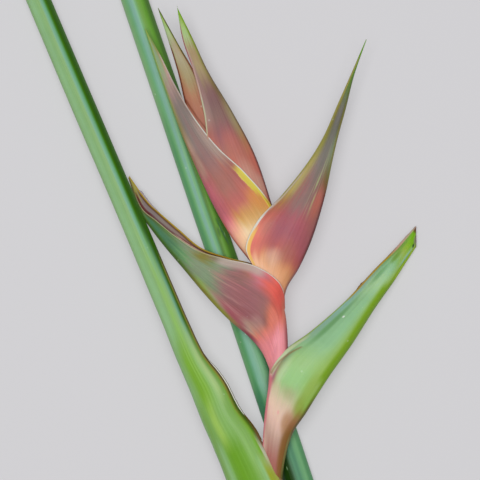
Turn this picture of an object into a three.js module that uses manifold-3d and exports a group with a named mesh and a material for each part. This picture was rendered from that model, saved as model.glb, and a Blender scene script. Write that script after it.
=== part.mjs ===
// A cut heliconia flowering shoot, lying on a flat surface: one flower stem that zigzags through six folded
// bracts, and two leaf stalks, the front one opening into a sheath round the stem.
// Millimetres. X runs across the shoot, Y from the cut end towards the bud, Z up from the surface.
import * as THREE from 'three';
import Module from 'manifold-3d';

const wasm = await Module();
wasm.setup();

const seatGap = 0.3; // clearance left where one piece clasps or lies on another
const bractWall = 1.0;
const sheathRim = 1.0; // how far a sheath's hollow stops short of its margins
const closedSlit = 0.12; // half the slit left between two cheeks that are pressed together
const bractSteps = 24; // along a bract
const cheekSteps = 7; // from keel to margin
const foldShare = 0.45; // part of a cheek's breadth that the rounded fold of the keel takes
const stalkSteps = 22;
const stemHalfSides = 7; // points on the front half of the stem's outline, and again on its back half
const stalkHalfSides = 9;
const lookAhead = 0.01; // share of a stalk's length over which its direction is taken
const claspBlend = 2; // a far face turns from a round back into a clasping hollow over this many mm each way
const flatShare = 0.94; // a lying stalk is flattened to this share of its half height
const shoulderRise = 0.06; // the low shoulder that runs along a leaf stalk, as a share of its width
const shoulderAngle = THREE.MathUtils.degToRad(62);
const shoulderBreadth = THREE.MathUtils.degToRad(16);
const cutY = -158; // where the shoot is cut below the lowest bract
const trimY = 132; // where both leaf stalks are trimmed above the bud

// One rib of a bract runs from the keel to the near margin. height is the middle of the bract above the
// surface, depth half its thickness there, opening half the gap between its margins, and rise how far the
// far margin stands beyond the near one.
function rib(keel, margin, height, depth, opening, rise = 0) {
  return { keel, margin, height, depth, opening, rise };
}

const bracts = {
  bract_1: {
    color: 0x7fb56d,
    roughness: 0.42,
    ribs: [
      rib([20.6, -126], [10.6, -118], 14.4, 6.2, 5.6),
      rib([22.6, -110], [11.4, -102], 16.7, 6.3, 5.8),
      rib([26.2, -97], [12.6, -86], 18.2, 6.4, 5.8),
      rib([33, -86.6], [14.6, -71], 19.2, 6.9, 6.0),
      rib([38.3, -78], [15.2, -65.8], 19.8, 7.6, 5.8),
      rib([45.5, -67], [22.2, -55.6], 19, 8.4, 5.4),
      rib([56, -52.4], [35.2, -46], 15.6, 8.6, 3.6),
      rib([67.8, -34.1], [53.2, -30.4], 10.4, 7.2, 2.6),
      rib([77.5, -20.5], [67.5, -15], 6.1, 5.4, 2.2),
      rib([83.5, -11.2], [77.5, -3.2], 3.7, 3.6, 1.8),
      rib([88.5, -3.5], [88, 6], 2.6, 1.5, 1.2),
    ],
  },
  bract_2: {
    color: 0x9c6a62,
    roughness: 0.45,
    ribs: [
      rib([14.5, -66], [22.5, -34], 20.5, 5.5, 4.0),
      rib([10.5, -56], [21.8, -26], 21, 6.9, 6.4),
      rib([4.5, -48.5], [18.5, -20], 21.5, 7.9, 7.7),
      rib([-6, -39.5], [7.5, -13], 21.5, 7.8, 7.2, 0.4),
      rib([-16.5, -28.5], [-7, -9.5], 20.5, 6.8, 5.2, 0.9),
      rib([-28, -15.5], [-20.5, -5.5], 18.4, 5.4, 4.2, 1.8),
      rib([-37.5, -4.5], [-33, 2], 16, 4.2, 3.4, 2.8),
      rib([-44, 5], [-42, 9], 13.4, 3.0, 2.4, 3.2),
      rib([-49, 15], [-48.5, 16.5], 11, 1.9, 1.4, 3.2),
      rib([-55.8, 31], [-55.6, 31.6], 8.6, 0.7, 0.6),
    ],
  },
  bract_3: {
    color: 0xa8605e,
    roughness: 0.45,
    ribs: [
      rib([21.5, -32.5], [12, -25], 21, 5.2, 4.6),
      rib([23.5, -24], [6.5, -13], 21, 6.3, 5.8),
      rib([29.5, -14], [3, -4], 21, 8.0, 7.3),
      rib([36, 0.5], [8.5, 9], 21, 8.5, 7.6),
      rib([42.5, 22], [21.5, 23], 21, 6.8, 3.0),
      rib([46, 38.5], [34.5, 39.5], 20.5, 4.9, 1.8),
      rib([49, 51.5], [42, 52], 20, 3.7, 1.5),
      rib([53, 66], [48.8, 67.5], 19.5, 2.6, 1.4),
      rib([57, 82], [55.2, 82], 19, 1.6, 1.2),
      rib([63.3, 100.2], [63.1, 100.3], 18.5, 0.7, 0.6),
    ],
  },
  bract_4: {
    color: 0xb06a66,
    roughness: 0.45,
    ribs: [
      rib([12, -22], [20.5, -11], 21, 4.3, 3.6),
      rib([5.5, -11.5], [20, 2], 21, 5.7, 4.8),
      rib([-4, 1], [15.5, 17.2], 21, 6.9, 4.4),
      rib([-13.5, 17.5], [2.5, 33.5], 21, 7.0, 6.2),
      rib([-22, 36], [-10.5, 45.5], 20.5, 6.2, 5.5),
      rib([-29.5, 53.5], [-22, 59.8], 20, 4.8, 4.2),
      rib([-36, 71], [-31.8, 76], 19, 3.3, 2.0),
      rib([-42, 88], [-39.5, 91.5], 18, 2.0, 1.4),
      rib([-47.6, 105.6], [-47.4, 105.8], 17, 0.7, 0.6),
    ],
  },
  bract_5: {
    color: 0xa46a60,
    roughness: 0.45,
    ribs: [
      rib([20.5, -12], [11.5, -6], 21, 3.3, 2.8),
      rib([20, 3], [3, 9], 21, 4.4, 3.8),
      rib([15.5, 19], [-6, 26.5], 21, 5.2, 4.4),
      rib([7.5, 42.5], [-15, 45], 21, 5.1, 4.5),
      rib([-3.5, 63.5], [-18, 64], 20.8, 4.5, 4.0),
      rib([-16, 84.5], [-23.2, 84.5], 20.5, 3.2, 2.4),
      rib([-23.5, 100.5], [-28.5, 100], 20.2, 1.9, 1.3),
      rib([-31.6, 116.8], [-31.4, 116.8], 20, 0.7, 0.6),
    ],
  },
  bract_6: {
    color: 0xb08a6c,
    roughness: 0.45,
    ribs: [
      rib([5.5, 1], [11, 6], 20.8, 2.6, 2.2),
      rib([-8, 21.5], [3, 26.5], 20.8, 3.4, 2.8),
      rib([-19, 44], [-7, 47], 20.8, 3.6, 2.8),
      rib([-26.8, 66], [-16.5, 67.5], 20.6, 3.2, 2.4),
      rib([-31, 83.5], [-23, 84], 20.2, 2.3, 1.6),
      rib([-35.5, 98.5], [-31, 98], 19.6, 1.5, 1.1),
      rib([-41.1, 116], [-40.9, 116], 19, 0.7, 0.6),
    ],
  },
};

// Stations of a stem or stalk: centre, half breadth, rise of the near face above the centre, and the same for
// the far face: below zero it bulges away, above zero it is a hollow that clasps what lies behind. roll is in
// degrees and lifts the right side.
function station(centre, halfBreadth, near, far, roll = 0) {
  return { centre, halfBreadth, near, far, roll };
}

const flowerStem = {
  color: 0xd98a8c,
  roughness: 0.5,
  stations: [
    station([25, cutY, 8.2], 5.2, 5.2, -5.2),
    station([19, -139, 11.5], 5.1, 5.1, -5.1),
    station([15.2, -120, 14.5], 4.8, 4.8, -4.8),
    station([16.4, -102, 17.4], 4.8, 4.8, -4.8),
    station([17.6, -88, 18.9], 4.7, 4.7, -4.7),
    station([18.8, -70, 20], 4.5, 4.5, -4.5),
    station([19.4, -52, 20.8], 4.5, 4.5, -4.5),
    station([18.4, -38, 21], 4.4, 4.4, -4.4),
    station([15, -24, 21], 3.9, 3.9, -3.9),
    station([11.5, -11, 21], 3.2, 3.2, -3.2),
    station([7.5, 1, 21], 2.2, 2.0, -2.0),
    station([2.5, 12, 20.8], 1.2, 1.1, -1.1),
  ],
};

const rearLeafStalk = {
  color: 0x5fa36a,
  roughness: 0.4,
  stations: [
    station([41.5, cutY, 5.6], 7.4, 5.9, -5.96),
    station([29, -120, 5.6], 7.4, 5.9, -5.96),
    station([20, -93, 5.6], 7.4, 5.9, -5.96),
    station([2.2, -40, 5.6], 7.2, 5.9, -5.96),
    station([-16.8, 14.5, 5.6], 7.1, 5.9, -5.96),
    station([-36.2, 71.5, 5.6], 6.8, 5.8, -5.96),
    station([-56.8, trimY, 5.6], 6.6, 5.6, -5.96),
  ],
};

const frontLeafStalk = {
  color: 0x8fbf7a,
  roughness: 0.4,
  stations: [
    station([24, cutY, 6.6], 17.4, 11.4, 8.2, 18),
    station([14.8, -139, 10], 15.6, 11, 7.8, 18),
    station([8, -120, 14.5], 14.6, 9.4, 6.7, 18),
    station([-1.8, -100, 17.6], 12.6, 8, 5, 18),
    station([-8.3, -88.5, 19.2], 11, 7.2, 2.6, 14),
    station([-15.7, -74.5, 20], 9.1, 6.4, -1.2, 8),
    station([-24.3, -59.5, 19.8], 6.9, 6, -4.4, 3),
    station([-32.8, -40, 18.6], 6.2, 5.9, -5.8),
    station([-54, 10, 14.4], 6, 5.8, -5.8),
    station([-79.7, 70, 9.7], 6, 5.8, -5.8),
    station([-106, trimY, 5.45], 5.9, 5.6, -5.8),
  ],
};

// A smooth run through a list of values, read at t from 0 to 1.
function smoothRun(points) {
  const curve = new THREE.CatmullRomCurve3(points.map((p) => new THREE.Vector3(...p)));
  return (t) => curve.getPoint(t);
}

// A body swept through sections. Each section is a near row and a far row of as many points, which meet at
// both sides, so that a section may be a full outline or a thin folded sheet.
function loft(sections) {
  const rowLength = sections[0].near.length;
  const ringLength = 2 * rowLength;
  const positions = [];
  for (const section of sections) {
    for (const point of [...section.near, ...section.far.toReversed()]) {
      positions.push(point.x, point.y, point.z);
    }
  }
  const triangles = [];
  for (let s = 0; s + 1 < sections.length; s++) {
    for (let i = 0; i < ringLength; i++) {
      const a = s * ringLength + i;
      const b = s * ringLength + ((i + 1) % ringLength);
      triangles.push(a, b, b + ringLength, a, b + ringLength, a + ringLength);
    }
  }
  for (const [start, flip] of [[0, true], [(sections.length - 1) * ringLength, false]]) {
    for (let i = 0; i + 1 < rowLength; i++) {
      const quad = [start + i, start + i + 1, start + ringLength - 2 - i, start + ringLength - 1 - i];
      const [a, b, c, d] = flip ? quad.toReversed() : quad;
      triangles.push(a, b, c, a, c, d);
    }
  }
  const geometry = new THREE.BufferGeometry();
  geometry.setAttribute('position', new THREE.Float32BufferAttribute(positions, 3));
  geometry.setIndex(triangles);
  return facingOut(geometry);
}

// The six-fold volume of a closed mesh is negative where its triangles face in, and then they are turned.
function facingOut(geometry) {
  const position = geometry.getAttribute('position');
  const index = geometry.getIndex();
  const corners = [0, 1, 2].map(() => new THREE.Vector3());
  let volume = 0;
  for (let i = 0; i < index.count; i += 3) {
    corners.forEach((corner, k) => corner.fromBufferAttribute(position, index.getX(i + k)));
    volume += corners[0].dot(corners[1].clone().cross(corners[2]));
  }
  if (volume < 0) {
    geometry.setIndex([...index.array].toReversed());
  }
  return geometry;
}

// How far a cheek stands out from the bract's middle plane, and how far across it is, at share s of the way
// from keel (0) to margin (1): a quarter round over the fold, then an easy fall to the margin.
function cheekPoint(s) {
  if (s < 0.5) {
    const angle = s * Math.PI;
    return { across: foldShare * (1 - Math.cos(angle)), bulge: Math.sin(angle), fall: 0 };
  }
  const rest = 2 * s - 1;
  return { across: foldShare + (1 - foldShare) * rest, bulge: 1, fall: rest * rest };
}

// The folded shell of a bract. grow swells it on every side, for cutting its neighbours clear of it.
function bractShell({ ribs }, grow = 0) {
  const keelAt = smoothRun(ribs.map((r) => [...r.keel, r.height]));
  const marginAt = smoothRun(ribs.map((r) => [...r.margin, r.height]));
  const girthAt = smoothRun(ribs.map((r) => [r.depth, r.opening, r.rise]));
  const sections = [];
  for (let step = 0; step <= bractSteps; step++) {
    const t = step / bractSteps;
    const keel = keelAt(t);
    const breadth = marginAt(t).sub(keel);
    const outward = breadth.clone().normalize();
    const girth = girthAt(t);
    const depth = girth.x + grow;
    const opening = girth.y + grow;
    const wall = Math.min(bractWall, girth.x - closedSlit) + 2 * grow;
    const section = { near: [], far: [] };
    for (let i = -2 * cheekSteps; i <= 2 * cheekSteps; i += 2) {
      const side = Math.sign(i);
      const cheek = cheekPoint(Math.abs(i) / (2 * cheekSteps));
      const rise = side > 0 ? girth.z : 0;
      const stand = cheek.bulge * (depth + cheek.fall * (opening - depth));
      const hollow = Math.max(depth + cheek.fall * (opening - depth) - wall, closedSlit) * cheek.bulge;
      const across = keel.clone().addScaledVector(breadth, cheek.across);
      across.addScaledVector(outward, (rise + 2 * grow) * cheek.across - grow);
      const pulled = Math.min(wall, breadth.length() / 2) * (1 - cheek.across);
      section.near.push(across.clone().setZ(across.z - side * stand));
      section.far.push(across.clone().addScaledVector(outward, pulled).setZ(across.z - side * hollow));
    }
    sections.push(section);
  }
  return loft(sections);
}

// The solid of a stem or stalk through its stations.
function stalkSolid({ stations }, steps, halfSides, grow = 0, shoulder = 0) {
  const centreAt = smoothRun(stations.map((s) => s.centre));
  const girthAt = smoothRun(stations.map((s) => [s.halfBreadth, s.near, s.far]));
  const rollAt = smoothRun(stations.map((s) => [THREE.MathUtils.degToRad(s.roll), 0, 0]));
  const sections = [];
  for (let step = 0; step <= steps; step++) {
    const t = step / steps;
    const centre = centreAt(t);
    const ahead = centreAt(Math.min(t + lookAhead, 1)).sub(centreAt(Math.max(t - lookAhead, 0)));
    ahead.setZ(0).normalize();
    const right = new THREE.Vector3(ahead.y, -ahead.x, 0);
    const up = new THREE.Vector3(0, 0, 1);
    const roll = rollAt(t).x;
    const girth = girthAt(t);
    const section = { near: [], far: [] };
    for (let i = 0; i < halfSides; i++) {
      const angle = ((i + 0.5) * Math.PI) / halfSides;
      const ridge = shoulder * Math.exp(-(((angle - shoulderAngle) / shoulderBreadth) ** 2));
      const nearPoint = [
        (girth.x + grow) * Math.cos(angle) * (1 + ridge),
        (girth.y + grow) * Math.sin(angle) * (1 + ridge),
      ];
      const farHeight = (girth.z - grow) * Math.sin(angle);
      const floor = girth.z < 0 ? flatShare * (girth.z - grow) : -Infinity;
      const clasp = THREE.MathUtils.smoothstep(girth.z, -claspBlend, claspBlend);
      const farBreadth = girth.x + grow - sheathRim * clasp;
      const farPoint = [farBreadth * Math.cos(angle), Math.max(farHeight, floor)];
      for (const [row, [x, z]] of [[section.near, nearPoint], [section.far, farPoint]]) {
        const turnedX = x * Math.cos(roll) - z * Math.sin(roll);
        const turnedZ = x * Math.sin(roll) + z * Math.cos(roll);
        row.push(centre.clone().addScaledVector(right, turnedX).addScaledVector(up, turnedZ));
      }
    }
    sections.push(section);
  }
  return loft(sections);
}

function toManifold(geometry) {
  return new wasm.Manifold(
    new wasm.Mesh({
      numProp: 3,
      vertProperties: new Float32Array(geometry.getAttribute('position').array),
      triVerts: new Uint32Array(geometry.getIndex().array),
    }),
  );
}

// Cuts a piece clear of its neighbours and keeps the one body that is left of it.
function cutClear(geometry, neighbours) {
  let solid = toManifold(geometry);
  for (const neighbour of neighbours) {
    solid = solid.subtract(toManifold(neighbour));
  }
  const bodies = solid.decompose().sort((a, b) => b.volume() - a.volume());
  const { vertProperties, triVerts } = bodies[0].getMesh();
  const cut = new THREE.BufferGeometry();
  cut.setAttribute('position', new THREE.BufferAttribute(vertProperties, 3));
  cut.setIndex(new THREE.BufferAttribute(triVerts, 1));
  return cut;
}

function piece(name, geometry, { color, roughness }) {
  const mesh = new THREE.Mesh(geometry, new THREE.MeshStandardMaterial({ color, roughness, metalness: 0 }));
  mesh.name = name;
  return mesh;
}

const group = new THREE.Group();

const stem = (grow) => stalkSolid(flowerStem, stalkSteps, stemHalfSides, grow);
const rearStalk = (grow) => stalkSolid(rearLeafStalk, stalkSteps, stalkHalfSides, grow, shoulderRise);
const frontStalk = (grow) => stalkSolid(frontLeafStalk, stalkSteps, stalkHalfSides, grow, shoulderRise);

group.add(piece('flower_stem', stem(0), flowerStem));
group.add(piece('rear_leaf_stalk', rearStalk(0), rearLeafStalk));

// Each bract clasps the stem and lies inside the bract below it, so it is cut clear of both.
const placed = [stem(seatGap), rearStalk(seatGap)];
for (const [name, bract] of Object.entries(bracts)) {
  group.add(piece(name, cutClear(bractShell(bract), placed), bract));
  placed.push(bractShell(bract, seatGap));
}
group.add(piece('front_leaf_stalk', cutClear(frontStalk(0), placed), frontLeafStalk));

// The origin is the middle of the whole shoot's outline, on the surface that it lies on.
const box = new THREE.Box3().setFromObject(group);
const middle = box.getCenter(new THREE.Vector3());
group.position.set(-middle.x, -middle.y, -box.min.z);

export default group;
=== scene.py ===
import math

import bmesh
import bpy
import numpy as np
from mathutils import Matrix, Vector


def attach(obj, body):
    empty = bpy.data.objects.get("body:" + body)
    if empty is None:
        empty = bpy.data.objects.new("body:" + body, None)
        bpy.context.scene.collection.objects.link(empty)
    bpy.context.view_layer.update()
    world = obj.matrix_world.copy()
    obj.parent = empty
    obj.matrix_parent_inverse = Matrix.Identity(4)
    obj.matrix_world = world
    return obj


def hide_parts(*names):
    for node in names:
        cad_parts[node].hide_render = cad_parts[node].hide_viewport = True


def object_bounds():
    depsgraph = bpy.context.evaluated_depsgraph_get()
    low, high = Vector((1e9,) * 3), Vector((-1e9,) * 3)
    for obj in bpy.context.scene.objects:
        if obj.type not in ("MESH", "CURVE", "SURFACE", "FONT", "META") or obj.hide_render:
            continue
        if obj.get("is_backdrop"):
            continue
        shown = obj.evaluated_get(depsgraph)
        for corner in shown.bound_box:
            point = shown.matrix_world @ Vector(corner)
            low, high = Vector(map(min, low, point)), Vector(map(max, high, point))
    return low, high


# A cut heliconia shoot, lying on a pale floor and seen from straight above.
# Tables are in millimetres round the middle of the photo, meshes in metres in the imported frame.

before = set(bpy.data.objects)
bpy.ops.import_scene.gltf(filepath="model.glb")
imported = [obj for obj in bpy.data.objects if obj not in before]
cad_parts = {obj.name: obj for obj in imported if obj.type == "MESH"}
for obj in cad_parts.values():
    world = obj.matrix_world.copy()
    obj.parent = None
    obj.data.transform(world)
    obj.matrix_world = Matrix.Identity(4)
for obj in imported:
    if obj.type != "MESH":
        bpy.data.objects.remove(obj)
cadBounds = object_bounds()
mm = 0.001
photoMiddle = np.array((11.4247, 15.5862, 0.0024))  # where the tables' own middle lies in the frame
print("frame loaded:", sorted(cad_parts))


# Paints, as they look in soft daylight

palette = dict(
    palePink="#e28e96", blushPink="#e0868a", crimson="#964854", coral="#d87a68", coralRed="#d25c52",
    peach="#f2bc98", apricot="#d8986c", amber="#e8ba5c", orangeGlow="#cc8a4c", goldGlow="#cc9c5c",
    cream="#e6cca4", rose="#be6a72", deepRose="#a65a62", mauveRose="#a8686a", plumRose="#925a5c",
    terracotta="#ba6a5a", clay="#a0665c", rust="#a26854", rustEdge="#70341c", maroon="#6c3030",
    darkRed="#74181a", duskyMauve="#8e6a66", greyMauve="#82746e", violetGrey="#6c6a60",
    paleMauve="#ba968e", softMauve="#a0887e", silver="#beaea4", lavender="#a89cae", violet="#624c78",
    plum="#9c5c6a", pinkTan="#ba9686", pinkCream="#dab6a4", sand="#c6b898", dustyBrown="#a8785a",
    bark="#865c28", darkBark="#5c3c14", tanBrown="#aa7e58", dryBrown="#4c3218", dryGrey="#7d7a64",
    foldRose="#82605a", dryGold="#b4a468", foldBrown="#86603c", khaki="#a08e68", paleKhaki="#a69c7c",
    oliveGold="#9a944e", olive="#827c3a", oliveLime="#94903c", oliveBrown="#7c6840",
    darkOlive="#56541e", goldLine="#b08e22", richGold="#b29204", oxblood="#5e1610", limeEdge="#98bc08",
    yellowRim="#cfc04c", oliveCream="#bccaa0", paleRim="#d2d2c6", speck="#e1e8de", pith="#d6dcb8",
    pithGreen="#a9c08a", brightTip="#74ac14", tipLime="#94b050", tipOlive="#5c7c0a", tipDeep="#6a963a",
    paleTip="#a2b686", tipPale="#a4be80", limeKeel="#78a208", limeOlive="#84901a", keelGreen="#9abc5c",
    # leafShade, leafSheen and leafTeal serve as painted shade, reflection and highlight on the lowest
    # bract; stalkTeal, skyGreen and rearGlow serve as painted highlights on the stalks
    leafBody="#8ebb8a", leafPale="#a2c896", leafSpring="#96be7c", leafShade="#6ca068",
    leafSheen="#8cb49c", leafTeal="#8cbcac", greySage="#7e8e70", paleSage="#8c9c78",
    sageGreen="#689060", darkTeal="#4e7856", moss="#5c7834", stalkSage="#90bc7c", stalkMint="#8eb984",
    stalkGreen="#82ab70", stalkTeal="#72a686", skyGreen="#78ac92", stripeGreen="#78a834",
    ridgePale="#a6c480", sheathGreen="#80ac58", sheathCore="#70a238", sheathPale="#94ba58",
    deepGreen="#3e7210", darkGreen="#2e5e04", yellowOlive="#98a014", rearGreen="#72a876",
    rearMid="#5a9664", rearGlow="#7caa98", rearOlive="#609434", rearEdge="#4a7826", rearLow="#427e58",
    rearDeep="#386444", inkGreen="#1e4418",
)


def colourOf(paint):
    # the linear colour of a paint, by the usual screen curve
    shares = [int(palette[paint][i:i + 2], 16) / 255 for i in (1, 3, 5)]
    linear = [c / 12.92 if c <= 0.04045 else ((c + 0.055) / 1.055) ** 2.4 for c in shares]
    return (*linear, 1.0)


# Small helpers for shader trees

nodesPerRow = 14
nodeGap = (190, 260)
noiseMiddle = (0.3, 0.7)  # most of a noise lies between these


class Signal:
    # an output in a shader tree, to reckon with as with a number
    def __init__(self, socket):
        self.socket, self.tree = socket, socket.id_data

    def calc(self, operation, first, second=0.0):
        return read(put(self.tree, "ShaderNodeMath", {0: first, 1: second}, operation=operation))

    def __add__(self, other):
        return self.calc("ADD", self, other)

    def __sub__(self, other):
        return self.calc("SUBTRACT", self, other)

    def __rsub__(self, other):
        return self.calc("SUBTRACT", other, self)

    def __mul__(self, other):
        return self.calc("MULTIPLY", self, other)

    def __truediv__(self, other):
        return self.calc("DIVIDE", self, other)

    def __pow__(self, other):
        return self.calc("POWER", self, other)


def read(node, output=0):
    return Signal(node.outputs[output])


def setInputs(node, values):
    for socket, value in values.items():
        if isinstance(value, Signal):
            value.tree.links.new(value.socket, node.inputs[socket])
        else:
            node.inputs[socket].default_value = value


def put(tree, kind, values=None, **settings):
    node = tree.nodes.new(kind)
    row, column = divmod(len(tree.nodes), nodesPerRow)
    node.location = (nodeGap[0] * column, -nodeGap[1] * row)
    for key, value in settings.items():
        setattr(node, key, value)
    setInputs(node, values or {})
    return node


def fade(value, low, high):
    # 0 up to low, 1 from high on, smooth between
    values = {"Value": value, "From Min": low, "From Max": high}
    return read(put(value.tree, "ShaderNodeMapRange", values, interpolation_type="SMOOTHSTEP"))


def between(value, low, high, soft):
    # 1 from low to high, 0 from a soft width outside them
    return fade(value, low - soft, low) * (1.0 - fade(value, high, high + soft))


def spread(value, low=0.0, high=1.0):
    # the middle share of a noise spread out over a new range
    start, end = noiseMiddle
    values = {"Value": value, "From Min": start, "From Max": end, "To Min": low, "To Max": high}
    return read(put(value.tree, "ShaderNodeMapRange", values))


def mix(mask, under, over):
    values = {0: mask, 6: under, 7: over}
    return read(put(mask.tree, "ShaderNodeMix", values, data_type="RGBA"), 2)


def entriesOf(text):
    # the paint, numbers and last words of each entry in a text such as "rose .3 .97, coral 1 veined"
    for entry in filter(None, text.split(", ")):
        paint, *rest = entry.split()
        numbers = [float(part) for part in rest if not part.isalpha()]
        yield paint, numbers, [part for part in rest if part.isalpha()]


def ramp(place, text):
    # colours along a place; each entry is a paint and where it stands
    stops = [(position, colourOf(paint)) for paint, places, _ in entriesOf(text) for position in places]
    node = put(place.tree, "ShaderNodeValToRGB", {0: place})
    bar = node.color_ramp
    bar.interpolation = "CARDINAL"
    while len(bar.elements) < len(stops):
        bar.elements.new(1.0)
    for element, (position, colour) in zip(bar.elements, stops):
        element.position, element.color = position, colour
    return read(node)


def layer(tree, name):
    return read(put(tree, "ShaderNodeAttribute", attribute_name=name), "Fac")


def scaleBy(colour, factor):
    return read(put(colour.tree, "ShaderNodeVectorMath", {0: colour, "Scale": factor}, operation="SCALE"))


def combine(x, y, z=0.0):
    return read(put(x.tree, "ShaderNodeCombineXYZ", {0: x, 1: y, 2: z}))


def objectPlace(tree):
    return read(put(tree, "ShaderNodeTexCoord"), "Object")


def noise(vector, scale, detail=2.0, roughness=0.5):
    values = {"Vector": vector, "Scale": scale, "Detail": detail, "Roughness": roughness}
    return read(put(vector.tree, "ShaderNodeTexNoise", values))


def cells(vector, scale):
    return put(vector.tree, "ShaderNodeTexVoronoi", {"Vector": vector, "Scale": scale})


def newGroup(name, **inputs):
    # a shader group with named float inputs, given as their defaults
    group = bpy.data.node_groups.new(name, "ShaderNodeTree")
    for label, default in inputs.items():
        socket = group.interface.new_socket(label, in_out="INPUT", socket_type="NodeSocketFloat")
        socket.default_value = default
    entry = group.nodes.new("NodeGroupInput")
    return group, {label: read(entry, label) for label in inputs}


def closeGroup(group, **outputs):
    for label in outputs:
        group.interface.new_socket(label, in_out="OUTPUT", socket_type="NodeSocketFloat")
    setInputs(group.nodes.new("NodeGroupOutput"), outputs)
    return group


def useGroup(tree, group, **values):
    node = put(tree, "ShaderNodeGroup", values, node_tree=group)
    return {socket.name: Signal(socket) for socket in node.outputs}


# Shared effects

veinPattern = dict(broadAcross=0.22, broadAlong=0.4, broadSeed=7.3, cloudScale=2.3, cloudLow=0.15,
                   ribCount=2.6, ribRelief=0.25)
lineSway = 22.0  # how finely a line wanders
lineFade = 0.05  # how long a line takes to begin and end, as a share of the blade
patchCore, patchRim = 0.25, 1.15  # where a patch is full and gone, in its own half sizes
patchStreak = 0.5  # how much the veins fray its rim
waxScale, speckScale, scuffScale = 60.0, 260.0, 210.0
speckShare = 0.93  # specks stand in the few cells above this
speckSize = (0.08, 0.2)
scuffReach = (0.62, 0.78)


def makeLongVeins():
    # fine and broad streaks that run the length of a blade and follow its taper
    group, entry = newGroup("longVeins", Along=0.0, Across=0.0, Count=40.0, Stretch=3.0, Seed=0.0)
    across = entry["Across"] * entry["Count"]
    along = entry["Along"] * entry["Stretch"]
    fine = noise(combine(across, along, entry["Seed"]), 1.0)
    broadPlace = combine(across * veinPattern["broadAcross"], along * veinPattern["broadAlong"],
                         entry["Seed"] + veinPattern["broadSeed"])
    broad = noise(broadPlace, 1.0, detail=1.0)
    cloud = spread(noise(broadPlace, veinPattern["cloudScale"], detail=1.0), veinPattern["cloudLow"])
    uneven = (spread(fine) - 0.5) * cloud
    ribs = across.calc("SINE", across * veinPattern["ribCount"])
    relief = fine + ribs * veinPattern["ribRelief"]
    return closeGroup(group, Fine=uneven + 0.5, Broad=spread(broad), Relief=relief)


def makeEdgeLine():
    # a line at a distance from an edge, between two places along it, with a slight wander
    group, entry = newGroup("edgeLine", Distance=0.0, Along=0.0, Start=0.0, End=1.0, Soft=0.3,
                            From=-1.0, Until=2.0, Wander=0.3, Seed=0.0)
    sway = noise(combine(entry["Along"], entry["Seed"]), lineSway, detail=3.0) - 0.5
    distance = entry["Distance"] + sway * entry["Wander"]
    breadth = between(distance, entry["Start"], entry["End"], entry["Soft"])
    length = between(entry["Along"], entry["From"], entry["Until"], lineFade)
    return closeGroup(group, Mask=breadth * length)


def makeSoftPatch():
    # an oval blush with a streaky edge
    group, entry = newGroup("softPatch", Along=0.0, Across=0.0, At=0.5, Over=0.5, Length=0.1,
                            Breadth=0.2, Streak=0.5)
    along = (entry["Along"] - entry["At"]) / entry["Length"]
    across = (entry["Across"] - entry["Over"]) / entry["Breadth"]
    radius = along.calc("SQRT", along ** 2.0 + across ** 2.0)
    return closeGroup(group, Mask=1.0 - fade(radius + entry["Streak"] * patchStreak, patchCore, patchRim))


def makeSkinMarks():
    # cloudy wax, tiny pale specks and darker scuffs
    group, entry = newGroup("skinMarks", Amount=0.5)
    place = objectPlace(group)
    wax = noise(place, waxScale, detail=4.0, roughness=0.6)
    dots = cells(place, speckScale)
    draw = read(put(group, "ShaderNodeSeparateColor", {0: read(dots, "Color")}))
    chosen = draw.calc("GREATER_THAN", draw, speckShare)
    near = 1.0 - fade(read(dots, "Distance"), *speckSize)
    rubbed = fade(noise(place, scuffScale, detail=4.0, roughness=0.75), *scuffReach)
    return closeGroup(group, Wax=spread(wax), Specks=chosen * near * entry["Amount"],
                      Scuffs=rubbed * entry["Amount"])


longVeins = makeLongVeins()
edgeLine = makeEdgeLine()
softPatch = makeSoftPatch()
skinMarks = makeSkinMarks()
print("shader groups made")


# Curves and meshes

cutY, trimY = -158, 132  # where the shoot was cut, below and above
tiny = 1e-4
sharpAngle = 48  # degrees between faces that meet in a sharp edge
upright = np.array((0.0, 0.0, 1.0))

# a station is the centre of a stalk's section, its half breadth, how far its near and far sides stand from
# the centre, and perhaps its roll in degrees
stemStations = [
    (25, cutY, 8.2, 5.2, 5.2, -5.2), (19, -139, 11.5, 5.1, 5.1, -5.1), (15.2, -120, 14.5, 4.8, 4.8, -4.8),
    (16.4, -102, 17.4, 4.8, 4.8, -4.8), (17.6, -88, 18.9, 4.7, 4.7, -4.7), (18.8, -70, 20, 4.5, 4.5, -4.5),
    (19.4, -52, 20.8, 4.5, 4.5, -4.5), (18.4, -38, 21, 4.4, 4.4, -4.4), (15, -24, 21, 3.9, 3.9, -3.9),
    (11.5, -11, 21, 3.2, 3.2, -3.2), (7.5, 1, 21, 2.2, 2, -2), (2.5, 12, 20.8, 1.2, 1.1, -1.1),
]
stemSamples = 240
stemGap = 0.04  # how far a blended skin stays below the stem's own
offStem = -100.0  # the stem's height where there is no stem
jointPlace = np.array((22.75, -39.0))  # where the second bract's coral base meets the pink stem
jointDirection = np.array((0.513, -0.859))  # from the coral side to the pink side
jointFade = (-2.0, 8.0)  # where the pink starts and is full, past the joint


def columnsOf(rows, *groups):
    # groups of columns from a table of rows, with 0 where a row leaves its last number out
    table = np.array([(*row, 0.0)[:groups[-1][-1] + 1] for row in rows])
    return [table[:, group] for group in groups]


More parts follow.
